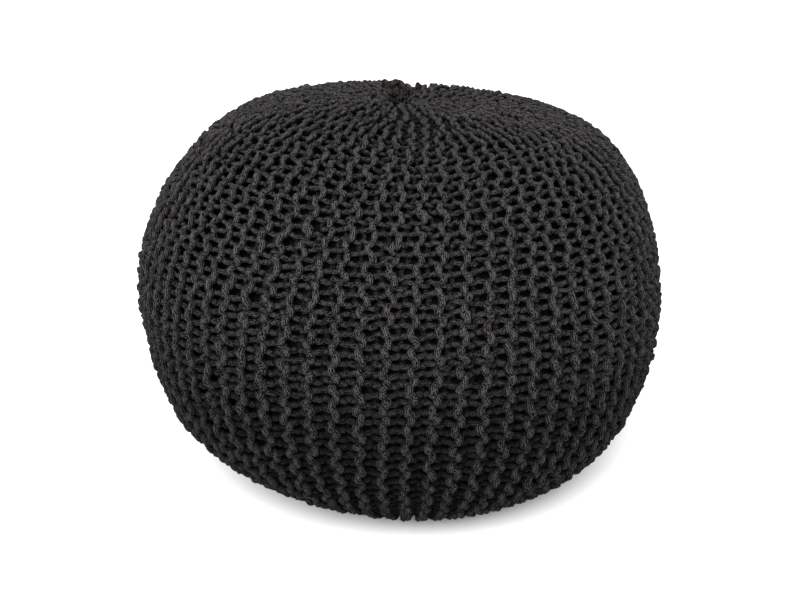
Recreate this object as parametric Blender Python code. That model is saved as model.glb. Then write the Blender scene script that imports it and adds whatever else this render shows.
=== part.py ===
"""Knitted pouf: one filled cover of thick cotton cord, gathered at the crown.

Metres, +Z up. The origin is on the floor, under the middle of the widest ring,
and the photographed side faces -Y. The cover is one ridged, filled solid with a
flat spot to stand on. Two knots of the same cord sit on its crown.
"""
import math

import bmesh
import bpy
import numpy as np
from mathutils import Matrix, Vector

# ---- Driving dimensions -------------------------------------------------------
RADIUS = 0.250            # of the widest ring, over the cords
WIDEST_HEIGHT = 0.198     # of that ring above the floor
CROWN_RISE = 0.181        # from the widest ring up to the crown
UNDER_DROP = 0.2055       # from the widest ring down to where an uncut base would end

# Powers of the sine and cosine that draw a quarter outline: 1 is an ellipse,
# less than 1 is a squarer shoulder.
CROWN_SIDE_POWER = 0.433
CROWN_TOP_POWER = 1.274
UNDER_SIDE_POWER = 0.776
UNDER_BASE_POWER = 0.921

# How far the soft filling has settled away from a turned shape.
CROWN_SHIFT = 0.0187      # crown over to +X
POLE_SHIFT = 0.0034       # middle of the gathers, to +X
GATHER_RADIUS = 0.112     # the crown's shift fades out inside this
CROWN_TILT = 0.0606       # crown falls by this much per metre of +X
UNDER_SHIFT = 0.0118      # underside over to +X
UNDER_TILT = 0.0304       # underside falls by this much per metre of +X
LEFT_BULGE = 0.0022       # two soft bulges down the -X side
LEFT_BULGE_HEIGHT = 0.245
LEFT_BULGE_PITCH = 0.195

# The knit: ridges run from the crown to the base, side by side.
RIDGES = 74
RIDGE_DEPTH = 0.0060      # valley below crest
RIDGE_DRIFT = math.radians(3.0)   # sideways drift of a ridge at its two ends
DRIFT_MIDDLE = 0.290      # distance from the crown where a ridge runs true
DRIFT_REACH = 0.250
SHORT_START = 0.085       # every second ridge starts this far from the crown
SHORT_GROWTH = 0.040      # and has its full width this much further on
SHORT_SCATTER = 0.012
GATHER_START = 0.030      # half of the others start here
GATHER_GROWTH = 0.030

# The pucker where the crown is drawn together, and the join down the back.
PUCKER_DEPTH = 0.0070
PUCKER_RADIUS = 0.024
JOIN_DEPTH = 0.0040
JOIN_COLUMN = RIDGES      # the valley opposite the first one, so halfway round
JOIN_SHARES = (1.0, 0.4)  # of the depth, at that column and at the ones beside it

# Distances from the crown of the rings of points, as shares of the way down.
RING_SHARES_TOP = (0.012, 0.026, 0.044, 0.066, 0.092, 0.122, 0.155, 0.192, 0.232)
RINGS_BELOW = 19

# Knots: centre, half sizes and the turn about Z of each.
KNOT_GAP = 0.0003
CLOSING_KNOT = {
    "name": "closing_knot", "centre": (-0.0068, 0.0075, 0.0068),
    "half": (0.0108, 0.0100, 0.0112), "turn": math.radians(20.0),
    "wraps": 3, "wrap_depth": 0.0010,
}
JOIN_KNOT = {
    "name": "join_knot", "centre": (0.0150, 0.0580, -0.0002),
    "half": (0.0038, 0.0038, 0.0054), "turn": math.radians(-35.0),
    "wraps": 2, "wrap_depth": 0.0005,
}
KNOT_SEGMENTS = 20
KNOT_RINGS = 12
SEAT_SEGMENTS = 20
SEAT_RINGS = 10

CHARCOAL = (0.022, 0.020, 0.021, 1.0)
DARK_CHARCOAL = (0.018, 0.016, 0.016, 1.0)


def clear_scene():
    """Empty the file of whatever it opened with."""
    for thing in list(bpy.data.objects):
        bpy.data.objects.remove(thing)


def cotton(name, colour):
    """Matt cotton cord."""
    material = bpy.data.materials.new(name)
    material.use_nodes = True
    shader = material.node_tree.nodes["Principled BSDF"]
    shader.inputs["Base Color"].default_value = colour
    shader.inputs["Roughness"].default_value = 0.9
    shader.inputs["Metallic"].default_value = 0.0
    return material


def smooth_step(value):
    """0 below 0, 1 above 1, and an even curve between."""
    x = min(max(value, 0.0), 1.0)
    return x * x * (3.0 - 2.0 * x)


# ---- The outline ----------------------------------------------------------------
def outline_table(steps=400):
    """Radius and height along the outline from the crown, by distance along it."""
    angles = np.linspace(0.0, math.pi / 2.0, steps)
    sine, cosine = np.sin(angles), np.abs(np.cos(angles))
    top_radius = RADIUS * sine ** CROWN_SIDE_POWER
    top_height = WIDEST_HEIGHT + CROWN_RISE * cosine ** CROWN_TOP_POWER
    low_radius = RADIUS * cosine ** UNDER_SIDE_POWER
    low_height = WIDEST_HEIGHT - UNDER_DROP * sine ** UNDER_BASE_POWER
    radius = np.concatenate([top_radius, low_radius[1:]])
    height = np.concatenate([top_height, low_height[1:]])
    distance = np.concatenate([[0.0], np.cumsum(np.hypot(np.diff(radius), np.diff(height)))])
    return distance, radius, height


OUTLINE = outline_table()
OUTLINE_LENGTH = OUTLINE[0][-1]


def smooth_point(distance, azimuth):
    """A point of the unridged surface. Azimuth 0 faces -Y and turns towards +X."""
    radius = float(np.interp(distance, OUTLINE[0], OUTLINE[1]))
    height = float(np.interp(distance, OUTLINE[0], OUTLINE[2]))
    crown = max(0.0, (height - WIDEST_HEIGHT) / CROWN_RISE)
    under = max(0.0, (WIDEST_HEIGHT - height) / UNDER_DROP)
    side = math.sin(azimuth)
    away = smooth_step(radius / GATHER_RADIUS)
    bulge = LEFT_BULGE * math.cos(2.0 * math.pi * (height - LEFT_BULGE_HEIGHT) / LEFT_BULGE_PITCH)
    radius += bulge * max(0.0, -side) * away
    shift = UNDER_SHIFT * under ** 2 + CROWN_SHIFT * crown ** 2 * away
    if crown > 0.0:
        shift += POLE_SHIFT * (1.0 - away)
    height -= (CROWN_TILT * crown + UNDER_TILT * under) * radius * side
    height -= PUCKER_DEPTH * (1.0 - smooth_step(radius / PUCKER_RADIUS)) * (crown > 0.0)
    return Vector((radius * side + shift, -radius * math.cos(azimuth), height))


def smooth_normal(distance, azimuth):
    """Outward direction of the unridged surface."""
    step = 0.002
    near = max(distance - step, step)
    down = smooth_point(distance + step, azimuth) - smooth_point(near, azimuth)
    turn = 0.01
    along = smooth_point(max(distance, step), azimuth + turn)
    along -= smooth_point(max(distance, step), azimuth - turn)
    return down.cross(along).normalized()


def floor_distance(azimuth):
    """Distance from the crown at which the underside meets the floor."""
    low, high = 0.6 * OUTLINE_LENGTH, OUTLINE_LENGTH
    for _ in range(40):
        middle = 0.5 * (low + high)
        if smooth_point(middle, azimuth).z > 0.0:
            low = middle
        else:
            high = middle
    return low


# ---- The knit's ridges ------------------------------------------------------------
def ridge_width(ridge, distance):
    """Share of its full width that a ridge has at a distance from the crown."""
    if ridge % 2 == 1:
        start = SHORT_START + SHORT_SCATTER * math.sin(2.4 * ridge)
        return smooth_step((distance - start) / SHORT_GROWTH)
    if ridge % 4 == 2:
        return smooth_step((distance - GATHER_START) / GATHER_GROWTH)
    return 1.0


def ridge_columns(distance):
    """Azimuth and relief of the columns of points: valley, crest, valley, crest and on."""
    widths = [ridge_width(ridge, distance) for ridge in range(RIDGES)]
    whole = sum(widths)
    reach = (distance - DRIFT_MIDDLE) / DRIFT_REACH
    azimuth = -RIDGE_DRIFT * min(reach * reach, 1.5)
    columns = []
    for width in widths:
        share = 2.0 * math.pi * width / whole
        columns.append((azimuth, -1.0))
        columns.append((azimuth + 0.5 * share, 2.0 * width - 1.0))
        azimuth += share
    return columns


def join_dip(column):
    """How far the join sinks a column of points."""
    away = abs(column - JOIN_COLUMN)
    return JOIN_DEPTH * JOIN_SHARES[away] if away < len(JOIN_SHARES) else 0.0


def ring_distances():
    """Rings of points, as shares of the way from the crown to the floor."""
    last = RING_SHARES_TOP[-1]
    even = [last + (1.0 - last) * (step + 1) / RINGS_BELOW for step in range(RINGS_BELOW)]
    return list(RING_SHARES_TOP) + even


def cover_mesh():
    """The cover as one closed mesh of ridged rings, a crown fan and a flat base."""
    mesh = bmesh.new()
    rings = []
    floor_near = floor_distance(0.0)
    for share in ring_distances():
        ring = []
        for column, (azimuth, relief) in enumerate(ridge_columns(share * floor_near)):
            distance = share * floor_distance(azimuth)
            point = smooth_point(distance, azimuth)
            normal = smooth_normal(distance, azimuth)
            crown_fade = smooth_step(distance / GATHER_GROWTH)
            depth = 0.5 * RIDGE_DEPTH * (1.0 - relief) + join_dip(column)
            point -= normal * depth * crown_fade
            if share == 1.0:
                point.z = 0.0
            point.z = max(point.z, 0.0)
            ring.append(mesh.verts.new(point))
        rings.append(ring)
    for upper, lower in zip(rings[:-1], rings[1:]):
        count = len(upper)
        for i in range(count):
            j = (i + 1) % count
            mesh.faces.new((upper[i], lower[i], lower[j], upper[j]))
    pole = mesh.verts.new(smooth_point(0.0, 0.0))
    count = len(rings[0])
    for i in range(count):
        mesh.faces.new((pole, rings[0][i], rings[0][(i + 1) % count]))
    mesh.faces.new(tuple(reversed(rings[-1])))
    bmesh.ops.remove_doubles(mesh, verts=mesh.verts[:], dist=1e-5)
    bmesh.ops.dissolve_degenerate(mesh, edges=mesh.edges[:], dist=1e-6)
    bmesh.ops.recalc_face_normals(mesh, faces=mesh.faces[:])
    return mesh


def add_object(name, mesh, material):
    """A named, smooth-shaded object of one material from a bmesh."""
    data = bpy.data.meshes.new(name)
    mesh.to_mesh(data)
    mesh.free()
    data.materials.append(material)
    data.shade_smooth()
    thing = bpy.data.objects.new(name, data)
    bpy.context.scene.collection.objects.link(thing)
    return thing


def pole_height():
    """Height of the unpuckered crown at the middle of the gathers."""
    return WIDEST_HEIGHT + CROWN_RISE


def knot_mesh(knot, grown, segments, rings, wrapped):
    """A round lump of wrapped cord, its wraps raised as slanting ridges."""
    mesh = bmesh.new()
    bmesh.ops.create_uvsphere(mesh, u_segments=segments, v_segments=rings, radius=1.0)
    for vert in mesh.verts:
        x, y, z = vert.co
        slant = math.atan2(y, x) + 1.3 * z
        wave = 0.5 - 0.5 * math.cos(2.0 * knot["wraps"] * slant)
        groove = knot["wrap_depth"] * wave * (1.0 - abs(z)) if wrapped else 0.0
        half = [size - groove + grown for size in knot["half"]]
        vert.co = Vector((x * half[0], y * half[1], z * half[2]))
    bmesh.ops.rotate(mesh, verts=mesh.verts[:], cent=(0.0, 0.0, 0.0),
                     matrix=Matrix.Rotation(knot["turn"], 3, "Z"))
    place = Vector(knot["centre"]) + Vector((POLE_SHIFT, 0.0, pole_height()))
    bmesh.ops.translate(mesh, verts=mesh.verts[:], vec=place)
    return mesh


def seat_knot(cover, knot, material):
    """Sink a knot into the cover's crown, a hair clear of it all round."""
    add_object(knot["name"], knot_mesh(knot, 0.0, KNOT_SEGMENTS, KNOT_RINGS, True), material)
    seat_name = knot["name"] + "_seat"
    seat = add_object(seat_name, knot_mesh(knot, KNOT_GAP, SEAT_SEGMENTS, SEAT_RINGS, False), material)
    seat.hide_render = True
    seat.display_type = "WIRE"
    cut = cover.modifiers.new(seat_name, "BOOLEAN")
    cut.operation = "DIFFERENCE"
    cut.object = seat


def main():
    clear_scene()
    cover = add_object("knitted_cover", cover_mesh(), cotton("charcoal_cotton_knit", CHARCOAL))
    knot_cord = cotton("dark_knot_cord", DARK_CHARCOAL)
    for knot in (CLOSING_KNOT, JOIN_KNOT):
        seat_knot(cover, knot, knot_cord)


main()
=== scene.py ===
"""Looks of the knitted pouf: every loop of its cotton cord, its knots, floor, light and camera.

Metres, +Z up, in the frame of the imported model. The cover is garter stitch knitted
sideways: each row of loops runs from the crown to the base, and two rows make a ridge.
"""
import math

import bpy
import numpy as np
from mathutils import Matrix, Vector


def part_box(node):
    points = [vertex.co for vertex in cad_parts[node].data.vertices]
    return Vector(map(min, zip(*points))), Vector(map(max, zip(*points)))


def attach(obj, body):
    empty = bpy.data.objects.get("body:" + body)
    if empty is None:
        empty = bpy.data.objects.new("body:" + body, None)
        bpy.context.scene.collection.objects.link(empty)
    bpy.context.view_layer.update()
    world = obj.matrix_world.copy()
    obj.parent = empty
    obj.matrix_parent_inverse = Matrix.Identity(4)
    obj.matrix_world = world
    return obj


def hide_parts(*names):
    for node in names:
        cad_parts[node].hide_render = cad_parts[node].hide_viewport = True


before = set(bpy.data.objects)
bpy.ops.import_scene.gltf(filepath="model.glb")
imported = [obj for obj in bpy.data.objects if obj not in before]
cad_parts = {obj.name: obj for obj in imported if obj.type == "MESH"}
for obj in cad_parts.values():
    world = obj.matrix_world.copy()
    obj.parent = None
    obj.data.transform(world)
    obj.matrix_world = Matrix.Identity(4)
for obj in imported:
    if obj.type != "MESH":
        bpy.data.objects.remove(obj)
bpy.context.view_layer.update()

# ---- Sizes of the filled shape ----------------------------------------------------
cover_low, cover_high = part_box("knitted_cover")
RADIUS = 0.5 * (cover_high.x - cover_low.x)   # of the widest ring, over the cords
WIDEST_HEIGHT = 0.198
CROWN_RISE = 0.181        # from the widest ring up to the crown
UNDER_DROP = 0.2055       # from the widest ring down to where an uncut base would end

# Powers of the sine and cosine that draw a quarter outline.
CROWN_SIDE_POWER = 0.433
CROWN_TOP_POWER = 1.274
UNDER_SIDE_POWER = 0.776
UNDER_BASE_POWER = 0.921

# How far the filling has settled away from a turned shape, most at the crown and the base.
CROWN_SHIFT = 0.0187      # of the crown to the right, outside its gathered middle
POLE_SHIFT = 0.0034       # of that middle to the right
GATHER_RADIUS = 0.112     # out to which the gathers pull
CROWN_TILT = 0.0606       # fall of the crown to the right, in metres to a metre
UNDER_SHIFT = 0.0118      # of the base to the right
UNDER_TILT = 0.0304       # fall of the base to the right, in metres to a metre
LEFT_BULGE = 0.0022       # in and out of the left side, in waves down it
LEFT_BULGE_HEIGHT = 0.250  # at which one wave is fullest
LEFT_BULGE_PITCH = 0.172  # from wave to wave
LOW_BULGE_HEIGHT = 0.140  # from here down they grow to twice that size
LOW_BULGE_REACH = 0.050   # over this height
PUCKER_DEPTH = 0.0100     # of the pit at the gathered middle
PUCKER_RADIUS = 0.019
JOIN_DEPTH = 0.0060       # of the groove along the join down the back

# ---- Sizes of the knit ------------------------------------------------------------
RIDGES = 74
ROWS = 2 * RIDGES
RIDGE_DRIFT = math.radians(3.0)   # by which the ridges turn round the pouf on their way
DRIFT_MIDDLE = 0.290      # distance from the crown at which they run straight down
DRIFT_REACH = 0.250       # from there to where they have turned that far
DRIFT_MOST = 1.5          # the most that they turn, in drifts
SHORT_START = 0.085       # distance from a pole at which every second ridge starts to open
SHORT_GROWTH = 0.040      # and over which it opens
SHORT_SCATTER = 0.012     # how far these starts differ
SHORT_TURN = 2.4          # from ridge to ridge, in radians of the sine that scatters them
GATHER_START = 0.030      # the same for every fourth ridge
GATHER_GROWTH = 0.030
POLE_START = 0.007        # and for the cords of all the others
OPEN_SHARE = 0.4          # share of its growth at which a short ridge's cord starts
POLE_GAP = 0.004          # that every cord keeps from a pole
JOIN_ROW = 75             # the edge between rows where the knitted piece is joined
JOIN_WIDTH = 0.0100       # from the middle of the groove there to its shoulders
LEVEL_RING = 0.310        # distance from the crown of a ring of stitches that lies level
STITCH = 0.0165           # length of one stitch along its row there
STITCH_GROWTH = 0.0042    # how much longer it is by one reach above or below
STITCH_REACH = 0.150
STITCH_MOST = 1.15        # the most that it grows, in growths
CORD_RADIUS = 0.0028
LOW_CORD_RADIUS = 0.0034  # of the cord low down, where it lies looser
LOW_CORD_START = 0.260    # distance from the crown at which it starts to get thicker
LOW_CORD_END = 0.380
PROUD = 0.0014            # how far the front arcs stand over the plain outline
FABRIC_DEPTH = 0.0095     # from the front arcs' middles to the back arcs' middles
CROWDED_THINNESS = 0.60   # how much thinner the cord is pressed where its rows crowd together
MOST_OFFSET = 0.27        # of a ridge's two columns of arcs to each side of its middle, in rows
ARC_LEAN = 0.15           # of a front arc across its ridge, in rows to a stitch
ARC_LAG = 0.06            # of the foot arcs past the middle between two heads, in stitches
CORD_SIDES = 6
KNOT_SIDES = 10
WEDGES = 8                # pieces that the rows are shared out to
LEAST_WIDTH = 0.001       # of a row, and the least radius of a ring, for dividing by
LEAST_RADIUS = 0.020
WITHIN_ROW = 0.999        # from one edge of a row to just short of its other edge

# How uneven the loops are.
KNIT_SEED = 7
ALONG_SCATTER = 0.0010    # of a stitch along its row
ACROSS_SCATTER = 0.05     # of a stitch across its row, in rows
OFFSET_SCATTER = 0.18     # of the offset of its arcs, as a share
DEPTH_SCATTER = 0.0006
THICKNESS_SCATTER = 0.07  # as a share

# Slow waves that keep the stitches from lying in perfect rings: how many go round the
# pouf, how many along it, their size and phase.
WAVES = (
    (2, 1.3, 0.0012, 0.4),
    (5, 2.1, 0.0009, 2.2),
    (9, 3.2, 0.0007, 4.1),
    (17, 5.7, 0.0005, 1.1),
    (31, 9.3, 0.0004, 3.3),
)
ALONG_PHASE = 2.0         # of the waves along a row, past those across it

# Half a loop, from the middle of its front arc to the middle of its back arc: how far along
# the row in stitches, how far across it in half rows, how far past that in arc offsets,
# depth in the fabric, thickness of the cord, and how light it is painted there: painted
# shade, darker where the cord dips in from its front arc and at its back arc.
HALF_LOOP = (
    (0.000, 1.00, 1.00, 0.00, 1.20, 1.05),
    (0.130, 1.00, 0.92, 0.02, 1.18, 0.98),
    (0.205, 1.00, 0.50, 0.12, 1.06, 0.78),
    (0.262, 1.00, -0.10, 0.28, 0.92, 0.55),
    (0.298, 0.55, 0.00, 0.38, 0.88, 0.92),
    (0.220, -0.55, 0.00, 0.44, 0.88, 0.94),
    (0.232, -1.00, 0.10, 0.64, 0.86, 0.68),
    (0.295, -1.00, -0.50, 0.88, 0.90, 0.60),
    (0.500, -1.00, -1.00, 1.00, 0.95, 0.56),
)


def whole_loop():
    """The loop's table with its second half, which is the first one turned back."""
    back = [(1.0 - row[0],) + row[1:] for row in HALF_LOOP[-2:0:-1]]
    return np.array(HALF_LOOP + tuple(back)).T


LOOP = whole_loop()
LOOP_ALONG, LOOP_DEPTH, LOOP_THICKNESS = LOOP[0], LOOP[3], LOOP[4]
LOOP_LEAN = ARC_LEAN * (LOOP_ALONG - np.round(LOOP_ALONG)) * (1.0 - LOOP_DEPTH)

# By distance from the crown: how far a ridge's two columns of arcs lie to each side of its
# middle; then painted light and shade: how light the front and the back of the knit are
# painted, lighter near the crown and darker towards the base and deep in the fabric, and how
# much painted shade a cord gets round to its inner side.
OFFSET_DISTANCES = (0.20, 0.31, 0.40, 0.48)
ARC_OFFSET = (0.0026, 0.0019, 0.0020, 0.0026)
SHADE_DISTANCES = (0.00, 0.12, 0.17, 0.30, 0.36, 0.42, 0.48, 0.56)
SHADE_FRONT = (1.48, 1.54, 1.42, 0.99, 0.80, 0.61, 0.66, 0.73)
SHADE_BACK = (0.03, 0.04, 0.50, 0.66, 0.30, 0.05, 0.01, 0.01)
SHADE_ROUND = (1.20, 1.20, 1.15, 1.05, 1.10, 1.20, 1.30, 1.30)
KNOT_SHADE = (0.80, 0.65)  # how light the knots' cord is painted at the front, and its painted shade round to its inner side
ROUND_POWER = 0.7         # below 1, a cord's painted shade sets in early on the way round
BACK_START = 0.2          # depth in the fabric at which the painted shade of its back sets in
BACK_REACH = 0.6          # and over which it does so

# ---- Sizes of the inside and the knots ----------------------------------------------
BACKING_DEPTH = 0.0150    # of the inside behind the loops, painted near black as shade
BACKING_SEGMENTS = 120
BACKING_RINGS = 60
KNOT_STATIONS = 97        # along the cord of a knot, with the last one on the first
END_STATIONS = 25         # along a loose end
END_SMOOTHINGS = 3

# The closing knot, in halves of its box: half size of its ball of cord, how far forward and
# how far below the top the ball's middle lies, and the corners of its end, right and back
# from the box's middle and up from the ball's. Then the radii of both cords and the ball's turn.
CLOSING_BALL = (0.72, 0.90, 0.88)
CLOSING_FORWARD = 0.30
CLOSING_DROP = 0.74
CLOSING_END = ((0.05, 0.0, 0.46), (0.40, 0.0, 0.40), (0.72, 0.0, 0.05), (0.85, 0.2, -0.90))
CLOSING_BALL_CORD = 0.0030
CLOSING_END_CORD = 0.0026
CLOSING_TURN = math.radians(25.0)

# The join's knot, in halves of its box's width: how far left and how far below the top its
# ball's middle lies, the ball's half height, and how far its end reaches out of the box to the
# left, at half height and at the foot. Then the radii of its cords and the ball's turn.
JOIN_LEFT = 0.2
JOIN_DROP = 0.6
JOIN_BALL_HEIGHT = 0.9
JOIN_END_LEVEL = 0.6
JOIN_END_LOW = 1.1
JOIN_BALL_CORD = 0.0015
JOIN_STEM_CORD = 0.0020
JOIN_END_CORD = 0.0018
JOIN_TURN = math.radians(-35.0)

# ---- The cotton -------------------------------------------------------------------
# Scales of its patterns, and how much each lightens and darkens the cord; the strands' part is
# painted shade in the grooves between them.
LOOSE_SCALE = 160.0
LOOSENESS = 1.6           # how far the strands stray from an even twist, in strands
FIBRES_ACROSS = 1.5       # to a strand
FIBRES_ALONG = 240.0      # to a metre of cord
FLUFF_SCALE = 800.0
PATCH_SCALE = 9.0         # of dye that took a little unevenly
STRAND_GROOVE_SHADE = 2.0
STRAND_POWER = 0.7        # below 1, the painted shade in the grooves between strands is narrow
FIBRE_TONE = 6.5
FLUFF_TONE = 6.0
PATCH_TONE = 0.3
TONE_DROP = 0.80          # taken off their sum

# The relief of the cord's surface: its height, the power that shapes its strands, and the
# height of fibres and fluff beside that of the strands.
RELIEF = 0.0009
RELIEF_POWER = 0.8
FIBRE_RELIEF = 0.8
FLUFF_RELIEF = 0.6

# ---- Floor, light and camera --------------------------------------------------------
FLOOR_SIZE = 30.0
FLOOR_GREY = (0.60, 0.60, 0.60, 1.0)
WHITE = (1.0, 1.0, 1.0, 1.0)
SURROUND_STRENGTH = 1.15

# The one broad light: its strength, then in degrees its height, turn and spread.
LIGHT_STRENGTH = 9.3
LIGHT_ELEVATION = 35.0
LIGHT_TURN = -7.0         # round from the front, below zero to the left
LIGHT_SPREAD = 30.0

CAMERA_ELEVATION = math.radians(19.3)
CAMERA_DISTANCE = 1.25
CAMERA_TARGET = Vector((0.0001, 0.0, 0.181))
PHOTO_WIDTH = 800.0
FOCAL_PIXELS = 1272.0
SENSOR_WIDTH = 36.0


# ---- The outline ----------------------------------------------------------------
def smooth_step(value):
    """0 below 0, 1 above 1, and an even curve between."""
    x = np.clip(value, 0.0, 1.0)
    return x * x * (3.0 - 2.0 * x)


def outline_table(steps=500):
    """Distance from the crown along the outline, with its radius and height there."""
    angles = np.linspace(0.0, math.pi / 2.0, steps)
    sine, cosine = np.sin(angles), np.abs(np.cos(angles))
    top_radius = RADIUS * sine ** CROWN_SIDE_POWER
    top_height = WIDEST_HEIGHT + CROWN_RISE * cosine ** CROWN_TOP_POWER
    low_radius = RADIUS * cosine ** UNDER_SIDE_POWER
    low_height = WIDEST_HEIGHT - UNDER_DROP * sine ** UNDER_BASE_POWER
    radius = np.concatenate([top_radius, low_radius[1:]])
    height = np.concatenate([top_height, low_height[1:]])
    distance = np.concatenate([[0.0], np.cumsum(np.hypot(np.diff(radius), np.diff(height)))])
    return distance, radius, height


OUTLINE_DISTANCE, OUTLINE_RADIUS, OUTLINE_HEIGHT = outline_table()
OUTLINE_LENGTH = OUTLINE_DISTANCE[-1]


def plain_radius(distance):
    """Radius of the turned outline before the filling settles."""
    return np.interp(distance, OUTLINE_DISTANCE, OUTLINE_RADIUS)


def surface(distance, azimuth):
    """Points of the cover's outer surface. Azimuth 0 faces -Y and turns towards +X."""
    radius = plain_radius(distance)
    height = np.interp(distance, OUTLINE_DISTANCE, OUTLINE_HEIGHT)
    crown = np.maximum(0.0, (height - WIDEST_HEIGHT) / CROWN_RISE)
    under = np.maximum(0.0, (WIDEST_HEIGHT - height) / UNDER_DROP)
    side = np.sin(azimuth)
    away = smooth_step(radius / GATHER_RADIUS)
    bulge = LEFT_BULGE * np.cos(2.0 * math.pi * (height - LEFT_BULGE_HEIGHT) / LEFT_BULGE_PITCH)
    bulge = bulge * (1.0 + smooth_step((LOW_BULGE_HEIGHT - height) / LOW_BULGE_REACH))
    radius = radius + bulge * np.maximum(0.0, -side) * away
    shift = UNDER_SHIFT * under ** 2 + CROWN_SHIFT * crown ** 2 * away
    shift = shift + POLE_SHIFT * (1.0 - away) * (crown > 0.0)
    height = height - (CROWN_TILT * crown + UNDER_TILT * under) * radius * side
    height = height - PUCKER_DEPTH * (1.0 - smooth_step(radius / PUCKER_RADIUS)) * (crown > 0.0)
    height = np.maximum(height, 0.0)
    return np.stack([radius * side + shift, -radius * np.cos(azimuth), height], -1)


def unit(vectors):
    """Each vector at length 1."""
    return vectors / np.maximum(np.linalg.norm(vectors, axis=-1, keepdims=True), 1e-12)


def surface_normal(distance, azimuth, step=0.003, turn=0.02):
    """Outward directions of the cover's outer surface, from points a step and a turn away."""
    middle = np.clip(distance, 2.0 * step, OUTLINE_LENGTH - 2.0 * step)
    down = surface(middle + step, azimuth) - surface(middle - step, azimuth)
    along = surface(middle, azimuth + turn) - surface(middle, azimuth - turn)
    return unit(np.cross(down, along))


# ---- The rows of the knit -----------------------------------------------------------
def row_start(ridge):
    """Distance from a pole at which a ridge starts to open, and over which it does so."""
    if ridge % 2 == 1:
        return SHORT_START + SHORT_SCATTER * math.sin(SHORT_TURN * ridge), SHORT_GROWTH
    if ridge % 4 == 2:
        return GATHER_START, GATHER_GROWTH
    return None


def row_table(steps=800):
    """Azimuth of each edge between rows, at even distances from the crown."""
    distance = np.linspace(0.0, OUTLINE_LENGTH, steps)
    widths = np.ones((steps, RIDGES))
    for ridge in range(RIDGES):
        start = row_start(ridge)
        if start:
            for way in (distance, OUTLINE_LENGTH - distance):
                widths[:, ridge] *= smooth_step((way - start[0]) / start[1])
    halves = np.repeat(0.5 * widths, 2, axis=1)
    edges = np.concatenate([np.zeros((steps, 1)), np.cumsum(halves, axis=1)], axis=1)
    edges *= 2.0 * math.pi / edges[:, -1:]
    reach = (distance - DRIFT_MIDDLE) / DRIFT_REACH
    return edges - RIDGE_DRIFT * np.minimum(reach * reach, DRIFT_MOST)[:, None]


ROW_EDGES = row_table()


def row_azimuth(distance, row):
    """Azimuth at each distance from the crown of a place counted in rows."""
    row = np.broadcast_to(np.asarray(row, float), distance.shape)
    turns, within = np.divmod(row, ROWS)
    left = np.minimum(within.astype(int), ROWS - 1)
    share = within - left
    station = np.clip(distance / OUTLINE_LENGTH, 0.0, 1.0) * (len(ROW_EDGES) - 1)
    upper = np.minimum(station.astype(int), len(ROW_EDGES) - 2)
    down = station - upper
    at_upper = ROW_EDGES[upper, left] * (1.0 - share) + ROW_EDGES[upper, left + 1] * share
    at_lower = ROW_EDGES[upper + 1, left] * (1.0 - share) + ROW_EDGES[upper + 1, left + 1] * share
    return at_upper * (1.0 - down) + at_lower * down + 2.0 * math.pi * turns


def row_width(distance, row):
    """Width of a row in metres at each distance from the crown."""
    turn = row_azimuth(distance, row + WITHIN_ROW) - row_azimuth(distance, row)
    return turn * plain_radius(distance)


def waver(distance, azimuth, lead):
    """How far slow waves move a stitch."""
    moved = 0.0
    for count, times, size, phase in WAVES:
        turn = count * azimuth + times * 2.0 * math.pi * distance / OUTLINE_LENGTH
        moved = moved + size * np.sin(turn + phase + lead)
    return moved


def stitches_along(row, steps=400):
    """Distances from the crown along a row, and the stitches from the level ring to each."""
    distance = np.linspace(0.0, OUTLINE_LENGTH, steps)
    points = surface(distance, row_azimuth(distance, row + 0.5))
    lengths = np.linalg.norm(np.diff(points, axis=0), axis=1)
    reach = (distance[1:] - LEVEL_RING) / STITCH_REACH
    stitches = STITCH + STITCH_GROWTH * np.minimum(reach * reach, STITCH_MOST)
    count = np.concatenate([[0.0], np.cumsum(lengths / stitches)])
    return distance, count - np.interp(LEVEL_RING, distance, count)


def bare_end(row):
    """How far from both poles a row's cord starts."""
    start = row_start(row // 2)
    return start[0] + OPEN_SHARE * start[1] if start else POLE_START


def painted_cord_shade(distance, depth, loop_shade):
    """Painted light and shade of a row's cord: how light it is painted by distance and depth in
    the fabric, and how much painted shade it gets round to its inner side.
    """
    front = np.interp(distance, SHADE_DISTANCES, SHADE_FRONT)
    painted_back_shade = np.interp(distance, SHADE_DISTANCES, SHADE_BACK)
    lightness_and_painted_shade = loop_shade * front * painted_back_shade ** smooth_step((depth - BACK_START) / BACK_REACH)
    return lightness_and_painted_shade, np.interp(distance, SHADE_DISTANCES, SHADE_ROUND)


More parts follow.
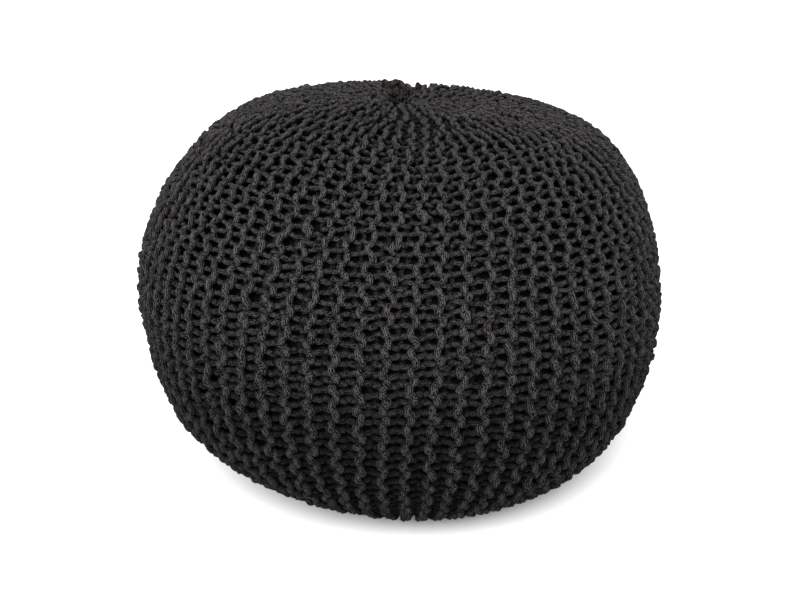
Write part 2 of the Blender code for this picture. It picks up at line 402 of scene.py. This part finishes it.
def row_path(row, chance):
    """Middle line, outward directions, radii, painted lightness and painted shade round a row's
    cord.
    """
    distances, counts = stitches_along(row)
    clear = bare_end(row)
    first = math.floor(np.interp(clear, distances, counts))
    last = math.ceil(np.interp(OUTLINE_LENGTH - clear, distances, counts))
    count = last - first
    samples = len(LOOP_ALONG)
    draws = np.repeat(chance.normal(0.0, 1.0, (count, 5)), samples, axis=0)
    _, along_draw, offset_draw, across_draw, depth_draw = draws.T
    # loop_shade is the loop table's column of painted shade.
    loop_along, loop_across, loop_past, loop_depth, loop_thickness, loop_shade = np.tile(LOOP, count)

    # An even row has its heads in front, an odd row its foot arcs, half a stitch further on.
    side = 1.0 if row % 2 == 0 else -1.0
    lag = 0.0 if row % 2 == 0 else 0.5 + ARC_LAG
    place = np.repeat(np.arange(first, last) + lag, samples) + loop_along
    distance = np.interp(place, counts, distances) + ALONG_SCATTER * along_draw
    width = np.maximum(row_width(distance, row), LEAST_WIDTH)
    crowded = np.maximum(1.0 - width * ROWS / (2.0 * math.pi * RADIUS), 0.0)
    offset = np.interp(distance, OFFSET_DISTANCES, ARC_OFFSET) / width
    offset = np.minimum(offset, MOST_OFFSET) * (1.0 + OFFSET_SCATTER * offset_draw)
    across = row + 0.5 + side * (0.5 * loop_across + offset * loop_past)
    across = across + np.tile(LOOP_LEAN, count) + ACROSS_SCATTER * across_draw

    azimuth = row_azimuth(distance, across)
    radius = np.maximum(plain_radius(distance), LEAST_RADIUS)
    azimuth = azimuth + waver(distance, azimuth, 0.0) / radius
    inside = np.flatnonzero((distance > clear) & (distance < OUTLINE_LENGTH - clear))
    keep = slice(inside[0], inside[-1] + 1)
    distance = distance + waver(distance, azimuth, ALONG_PHASE)
    distance = np.clip(distance, POLE_GAP, OUTLINE_LENGTH - POLE_GAP)

    cord = np.interp(distance, (LOW_CORD_START, LOW_CORD_END), (CORD_RADIUS, LOW_CORD_RADIUS))
    depth = FABRIC_DEPTH * loop_depth + cord * LOOP_THICKNESS[0] - PROUD
    depth = depth + DEPTH_SCATTER * depth_draw
    past_join = (azimuth - row_azimuth(distance, JOIN_ROW)) * radius
    depth = depth + JOIN_DEPTH * np.exp(-(past_join / JOIN_WIDTH) ** 2)
    outward = surface_normal(distance, azimuth)
    path = surface(distance, azimuth) - outward * depth[:, None]
    thickness = cord * loop_thickness * (1.0 - CROWDED_THINNESS * crowded)
    thickness = thickness * (1.0 + THICKNESS_SCATTER * chance.normal(0.0, 1.0, len(thickness)))
    lightness_and_painted_shade, shade_round = painted_cord_shade(distance, loop_depth, loop_shade)
    return path[keep], outward[keep], thickness[keep], lightness_and_painted_shade[keep], shade_round[keep]


# ---- Cords --------------------------------------------------------------------------
def swept_tube(path, outward, radius, lightness_and_painted_shade, shade_round, sides):
    """Rings of points of a round cord along a path, how far along each is, and how light it is
    painted, with painted shade round to its inner side.
    """
    tangent = unit(np.gradient(path, axis=0))
    across = unit(np.cross(tangent, outward))
    up = np.cross(across, tangent)
    around = np.arange(sides) * 2.0 * math.pi / sides
    rings = path[:, None, :] + radius[:, None, None] * (
        np.cos(around)[None, :, None] * up[:, None, :]
        + np.sin(around)[None, :, None] * across[:, None, :]
    )
    rings[:, :, 2] = np.maximum(rings[:, :, 2], 0.0)
    along = np.concatenate([[0.0], np.cumsum(np.linalg.norm(np.diff(path, axis=0), axis=1))])
    # Painted shade, darker round towards the cord's inner side.
    inward = (0.5 - 0.5 * np.cos(around)) ** ROUND_POWER
    painted_round_shade = np.maximum(1.0 - shade_round[:, None] * inward, 0.0)
    return rings, along, lightness_and_painted_shade[:, None] * painted_round_shade


def tube_sides(along, sides):
    """Corners of a tube's faces between its rings, with the cord's map at each corner."""
    ring = np.arange(len(along) - 1)[:, None] * sides
    side = np.arange(sides)[None, :]
    beyond = (side + 1) % sides
    quads = np.stack([ring + side, ring + beyond, ring + sides + beyond, ring + sides + side], -1)
    here, there = along[:-1, None] + 0 * side, along[1:, None] + 0 * side
    turn, next_turn = side / sides + 0 * ring, (side + 1) / sides + 0 * ring
    corner_along = np.stack([here, here, there, there], -1)
    corner_turn = np.stack([turn, next_turn, next_turn, turn], -1)
    return quads.reshape(-1, 4), np.stack([corner_along, corner_turn], -1).reshape(-1, 2)


def tube_mesh(name, tubes):
    """One mesh of several closed tubes, with a map of length along and turn around each cord."""
    quads, quad_maps, caps = [], [], []
    offset = 0
    for rings, along, _ in tubes:
        count, sides = rings.shape[:2]
        tube_quads, tube_map = tube_sides(along, sides)
        quads.append(tube_quads + offset)
        quad_maps.append(tube_map)
        caps.append(np.arange(sides)[::-1] + offset)
        caps.append(np.arange(sides) + offset + (count - 1) * sides)
        offset += count * sides
    points = np.concatenate([rings.reshape(-1, 3) for rings, _, _ in tubes])
    tones = np.concatenate([lightness_and_painted_shade.ravel() for _, _, lightness_and_painted_shade in tubes])
    corners = np.concatenate([np.concatenate(quads).ravel(), np.concatenate(caps)])
    quad_count = sum(len(part) for part in quads)
    totals = np.concatenate([np.full(quad_count, 4), [len(cap) for cap in caps]])
    starts = np.concatenate([[0], np.cumsum(totals)[:-1]])
    cord_map = np.concatenate(quad_maps + [np.zeros((len(cap), 2)) for cap in caps])

    mesh = bpy.data.meshes.new(name)
    mesh.vertices.add(len(points))
    mesh.vertices.foreach_set("co", points.astype(np.float32).ravel())
    mesh.loops.add(len(corners))
    mesh.loops.foreach_set("vertex_index", corners.astype(np.int32))
    mesh.polygons.add(len(totals))
    mesh.polygons.foreach_set("loop_start", starts.astype(np.int32))
    mesh.polygons.foreach_set("loop_total", totals.astype(np.int32))
    mesh.update(calc_edges=True)
    layer = mesh.uv_layers.new(name="cord")
    layer.data.foreach_set("uv", cord_map.astype(np.float32).ravel())
    # Painted lightness and shade at each point, read by the cord material.
    attribute = mesh.attributes.new("lightness_and_painted_shade", "FLOAT", "POINT")
    attribute.data.foreach_set("value", tones.astype(np.float32))
    mesh.shade_smooth()
    return mesh


def add_piece(name, mesh, material):
    """A finished piece on the pouf's one body."""
    thing = bpy.data.objects.new(name, mesh)
    bpy.context.scene.collection.objects.link(thing)
    mesh.materials.append(material)
    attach(thing, "root")
    return thing


# ---- The cover ------------------------------------------------------------------------
def knit_cover(material):
    """All the rows of loops, shared out to wedges that each stay a fair size."""
    chance = np.random.default_rng(KNIT_SEED)
    shares = np.array_split(np.arange(ROWS), WEDGES)
    for number, rows in enumerate(shares, start=1):
        tubes = [swept_tube(*row_path(int(row), chance), CORD_SIDES) for row in rows]
        mesh = tube_mesh(f"knit_wedge_{number}", tubes)
        add_piece(mesh.name, mesh, material)


def backing(material):
    """The inside of the filled cover, seen only between the loops, painted near black as the
    shade there.
    """
    bpy.ops.mesh.primitive_uv_sphere_add(
        segments=BACKING_SEGMENTS, ring_count=BACKING_RINGS, radius=1.0
    )
    thing = bpy.context.object
    thing.name = thing.data.name = "cover_inside"
    points = np.empty(len(thing.data.vertices) * 3, np.float32)
    thing.data.vertices.foreach_get("co", points)
    points = points.reshape(-1, 3).astype(float)
    azimuth = np.arctan2(points[:, 0], -points[:, 1])
    distance = np.arccos(np.clip(points[:, 2], -1.0, 1.0)) / math.pi * OUTLINE_LENGTH
    placed = surface(distance, azimuth) - surface_normal(distance, azimuth) * BACKING_DEPTH
    thing.data.vertices.foreach_set("co", placed.astype(np.float32).ravel())
    thing.data.update()
    thing.data.shade_smooth()
    thing.data.materials.append(material)
    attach(thing, "root")
    return thing


# ---- Knots ------------------------------------------------------------------------
def plain_tube(path, outward, cord_radius):
    """An even cord along a path, with the knots' painted lightness and shade."""
    even = np.ones(len(path))
    front, shade_round = KNOT_SHADE
    return swept_tube(path, outward, cord_radius * even, front * even,
                      shade_round * even, KNOT_SIDES)


def knotted_cord(centre, half, cord_radius, turn):
    """A pulled-tight overhand knot that faces the photographed side, as one closed tube."""
    angle = np.linspace(0.0, 2.0 * math.pi, KNOT_STATIONS)
    side = (np.sin(angle) + 2.0 * np.sin(2.0 * angle)) / 3.0
    rise = (np.cos(angle) - 2.0 * np.cos(2.0 * angle)) / 3.0
    side, rise = (math.cos(turn) * side - math.sin(turn) * rise,
                  math.sin(turn) * side + math.cos(turn) * rise)
    room = np.array(half) - cord_radius
    path = np.stack([side, np.sin(3.0 * angle), rise], -1) * room + np.array(centre)
    return plain_tube(path, unit(path - np.array(centre)), cord_radius)


def loose_end(corners, cord_radius):
    """A short end of cord along the given points, eased round them, as one closed tube."""
    corners = np.array(corners)
    station = np.linspace(0.0, len(corners) - 1.0, END_STATIONS)
    path = np.stack([np.interp(station, np.arange(len(corners)), line) for line in corners.T], -1)
    for _ in range(END_SMOOTHINGS):
        path[1:-1] = 0.25 * path[:-2] + 0.5 * path[1:-1] + 0.25 * path[2:]
    front = np.tile([0.0, -1.0, 0.0], (len(path), 1))
    return plain_tube(path, front, cord_radius)


def knot_piece(name, cad_node, tubes, material):
    """The tubes of one knot, in place of the CAD lump."""
    thing = add_piece(name, tube_mesh(name, tubes), material)
    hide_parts(cad_node)


def closing_knot(material):
    """The knot that draws the crown together, in the left of its box, its end tucked in right."""
    low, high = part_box("closing_knot")
    middle, half = (low + high) / 2.0, (high - low) / 2.0
    level = high.z - CLOSING_DROP * half.z
    wide, deep, tall = CLOSING_BALL
    centre = (low.x + wide * half.x, middle.y - CLOSING_FORWARD * half.y, level)
    ball = (wide * half.x, deep * half.y, tall * half.z)
    end = [(middle.x + right * half.x, middle.y + back * half.y, level + up * half.z)
           for right, back, up in CLOSING_END]
    tubes = [knotted_cord(centre, ball, CLOSING_BALL_CORD, CLOSING_TURN),
             loose_end(end, CLOSING_END_CORD)]
    knot_piece("closing_knot_cord", "closing_knot", tubes, material)


def join_knot(material):
    """The small knot that ends the join, on a stem down into it, with its end out to the left."""
    low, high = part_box("join_knot")
    middle, half = (low + high) / 2.0, (high - low) / 2.0
    centre = (middle.x - JOIN_LEFT * half.x, middle.y, high.z - JOIN_DROP * half.x)
    ball = (half.x, half.y, JOIN_BALL_HEIGHT * half.x)
    stem = [(middle.x, middle.y, high.z - half.x), (middle.x, middle.y, low.z)]
    end = [(middle.x, middle.y, middle.z),
           (low.x - JOIN_END_LEVEL * half.x, middle.y, middle.z),
           (low.x - JOIN_END_LOW * half.x, middle.y, low.z)]
    tubes = [knotted_cord(centre, ball, JOIN_BALL_CORD, JOIN_TURN),
             loose_end(stem, JOIN_STEM_CORD),
             loose_end(end, JOIN_END_CORD)]
    knot_piece("join_knot_cord", "join_knot", tubes, material)


# ---- Materials --------------------------------------------------------------------
class Wire:
    """A node's output that can be reckoned with like a number."""

    def __init__(self, tree, socket):
        self.tree = tree
        self.socket = socket

    def math(self, operation, other=None, swap=False):
        values = [self] if other is None else [self, other]
        if swap:
            values.reverse()
        settings = {"operation": operation}
        return node(self.tree, "ShaderNodeMath", settings, dict(enumerate(values)))

    def clamped(self):
        return node(self.tree, "ShaderNodeClamp", {}, {0: self})

    def __add__(self, other):
        return self.math("ADD", other)

    def __sub__(self, other):
        return self.math("SUBTRACT", other)

    def __rsub__(self, other):
        return self.math("SUBTRACT", other, swap=True)

    def __mul__(self, other):
        return self.math("MULTIPLY", other)

    def __pow__(self, other):
        return self.math("POWER", other)

    __radd__ = __add__
    __rmul__ = __mul__


def node(tree, kind, settings, values, output=0):
    """One output of a new node, its settings set first, then its sockets' values or links."""
    made = tree.nodes.new(kind)
    for name, value in settings.items():
        if name == "stops":
            for element, (position, colour) in zip(made.color_ramp.elements, value):
                element.position = position
                element.color = colour
        else:
            setattr(made, name, value)
    for key, value in values.items():
        if isinstance(value, Wire):
            tree.links.new(value.socket, made.inputs[key])
        else:
            made.inputs[key].default_value = value
    return Wire(tree, made.outputs[output])


def noise(tree, place, scale, detail):
    """A noise from 0 to 1 at a place."""
    values = {"Vector": place, "Scale": scale, "Detail": detail}
    return node(tree, "ShaderNodeTexNoise", {}, values)


def object_place(tree):
    """Object coordinates."""
    return node(tree, "ShaderNodeTexCoord", {}, {}, "Object")


def matt_material(name, roughness, specular):
    """A material without a pattern yet, its node tree and its shader."""
    material = bpy.data.materials.new(name)
    material.use_nodes = True
    shader = material.node_tree.nodes["Principled BSDF"]
    shader.inputs["Roughness"].default_value = roughness
    shader.inputs["Specular IOR Level"].default_value = specular
    return material, material.node_tree, shader


def cord_coordinates(tree):
    """Length along a cord in metres and turn around it from 0 to 1, from its map."""
    cord = node(tree, "ShaderNodeUVMap", {"uv_map": "cord"}, {})
    along = node(tree, "ShaderNodeSeparateXYZ", {}, {0: cord})
    around = Wire(tree, along.socket.node.outputs[1])
    return along, around


def twisted_cotton(name, dark, light, strands, twist):
    """Matt cotton cord: fine strands that wind round it with painted shade in their grooves,
    fibres, fluff and uneven dye, darkened by the painted light and shade stored on the mesh.
    """
    material, tree, shader = matt_material(name, roughness=0.9, specular=0.02)
    along, around = cord_coordinates(tree)
    place = object_place(tree)
    loose = noise(tree, place, LOOSE_SCALE, detail=1.0)
    winding = around * strands + along * (strands / twist) + loose * LOOSENESS
    strand = (winding * math.pi).math("SINE").math("ABSOLUTE")
    fibre_place = node(tree, "ShaderNodeCombineXYZ", {},
                       {0: winding * FIBRES_ACROSS, 1: along * FIBRES_ALONG})
    fibre = noise(tree, fibre_place, scale=1.0, detail=3.0)
    fluff = noise(tree, place, FLUFF_SCALE, detail=0.5)
    patch = noise(tree, place, PATCH_SCALE, detail=2.0)
    # The mesh's painted lightness and shade at each point.
    placed = node(tree, "ShaderNodeAttribute", {"attribute_name": "lightness_and_painted_shade"}, {}, "Fac")
    # The strands' term is painted shade in the grooves between them.
    yarn = strand ** STRAND_POWER * STRAND_GROOVE_SHADE + (fibre - 0.5) * FIBRE_TONE
    mix = yarn + (fluff - 0.5) * FLUFF_TONE + (patch - 0.5) * PATCH_TONE - TONE_DROP
    lightness_and_painted_shade = mix.clamped() * placed
    stops = ((0.0, dark), (1.0, light))
    colour = node(tree, "ShaderNodeValToRGB", {"stops": stops}, {0: lightness_and_painted_shade})
    tree.links.new(colour.socket, shader.inputs["Base Color"])
    relief = strand ** RELIEF_POWER + fibre * FIBRE_RELIEF + fluff * FLUFF_RELIEF
    values = {"Height": relief, "Distance": RELIEF, "Strength": 1.0}
    bump = node(tree, "ShaderNodeBump", {}, values)
    tree.links.new(bump.socket, shader.inputs["Normal"])
    return material


def painted_shade_inside():
    """Painted shade: the inside of the cover between the loops, near black with faint fluff."""
    material, tree, shader = matt_material("painted_shade_inside", roughness=1.0, specular=0.0)
    fluff = noise(tree, object_place(tree), scale=300.0, detail=3.0)
    stops = ((0.3, (0.0012, 0.0011, 0.0011, 1.0)), (0.8, (0.0042, 0.0040, 0.0041, 1.0)))
    colour = node(tree, "ShaderNodeValToRGB", {"stops": stops}, {0: fluff})
    tree.links.new(colour.socket, shader.inputs["Base Color"])
    return material


# ---- Stage ------------------------------------------------------------------------
def floor():
    """A plain pale floor."""
    bpy.ops.mesh.primitive_plane_add(size=FLOOR_SIZE, location=(0.0, 0.0, 0.0))
    thing = bpy.context.object
    thing.name = "floor"
    material, _, shader = matt_material("pale_floor", roughness=1.0, specular=0.0)
    shader.inputs["Base Color"].default_value = FLOOR_GREY
    thing.data.materials.append(material)


def studio():
    """White surroundings and one broad soft light from above, in front and a little left."""
    scene = bpy.context.scene
    world = bpy.data.worlds.new("studio")
    scene.world = world
    world.use_nodes = True
    background = world.node_tree.nodes["Background"]
    background.inputs["Color"].default_value = WHITE
    background.inputs["Strength"].default_value = SURROUND_STRENGTH
    data = bpy.data.lights.new("soft_light", "SUN")
    data.angle = math.radians(LIGHT_SPREAD)
    data.energy = LIGHT_STRENGTH
    lamp = bpy.data.objects.new("soft_light", data)
    lamp.rotation_euler = (math.radians(90.0 - LIGHT_ELEVATION), 0.0, math.radians(LIGHT_TURN))
    scene.collection.objects.link(lamp)
    scene.view_settings.view_transform = "Standard"


def camera():
    """The photo's view."""
    data = bpy.data.cameras.new("camera")
    data.sensor_width = SENSOR_WIDTH
    data.lens = FOCAL_PIXELS / PHOTO_WIDTH * SENSOR_WIDTH
    thing = bpy.data.objects.new("camera", data)
    back = Vector((0.0, -math.cos(CAMERA_ELEVATION), math.sin(CAMERA_ELEVATION)))
    thing.location = CAMERA_TARGET + back * CAMERA_DISTANCE
    thing.rotation_euler = (-back).to_track_quat("-Z", "Y").to_euler()
    bpy.context.scene.collection.objects.link(thing)
    bpy.context.scene.camera = thing


camera()
cotton_cord = twisted_cotton(
    "charcoal_cotton_cord",
    dark=(0.0015, 0.0014, 0.0014, 1.0),
    light=(0.0400, 0.0375, 0.0382, 1.0),
    strands=10,
    twist=0.060,
)
knot_cord = twisted_cotton(
    "dark_knot_cord",
    dark=(0.0015, 0.0013, 0.0012, 1.0),
    light=(0.0350, 0.0278, 0.0264, 1.0),
    strands=8,
    twist=0.045,
)
knit_cover(cotton_cord)
inside = backing(painted_shade_inside())
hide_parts("knitted_cover")
closing_knot(knot_cord)
join_knot(knot_cord)
floor()
studio()
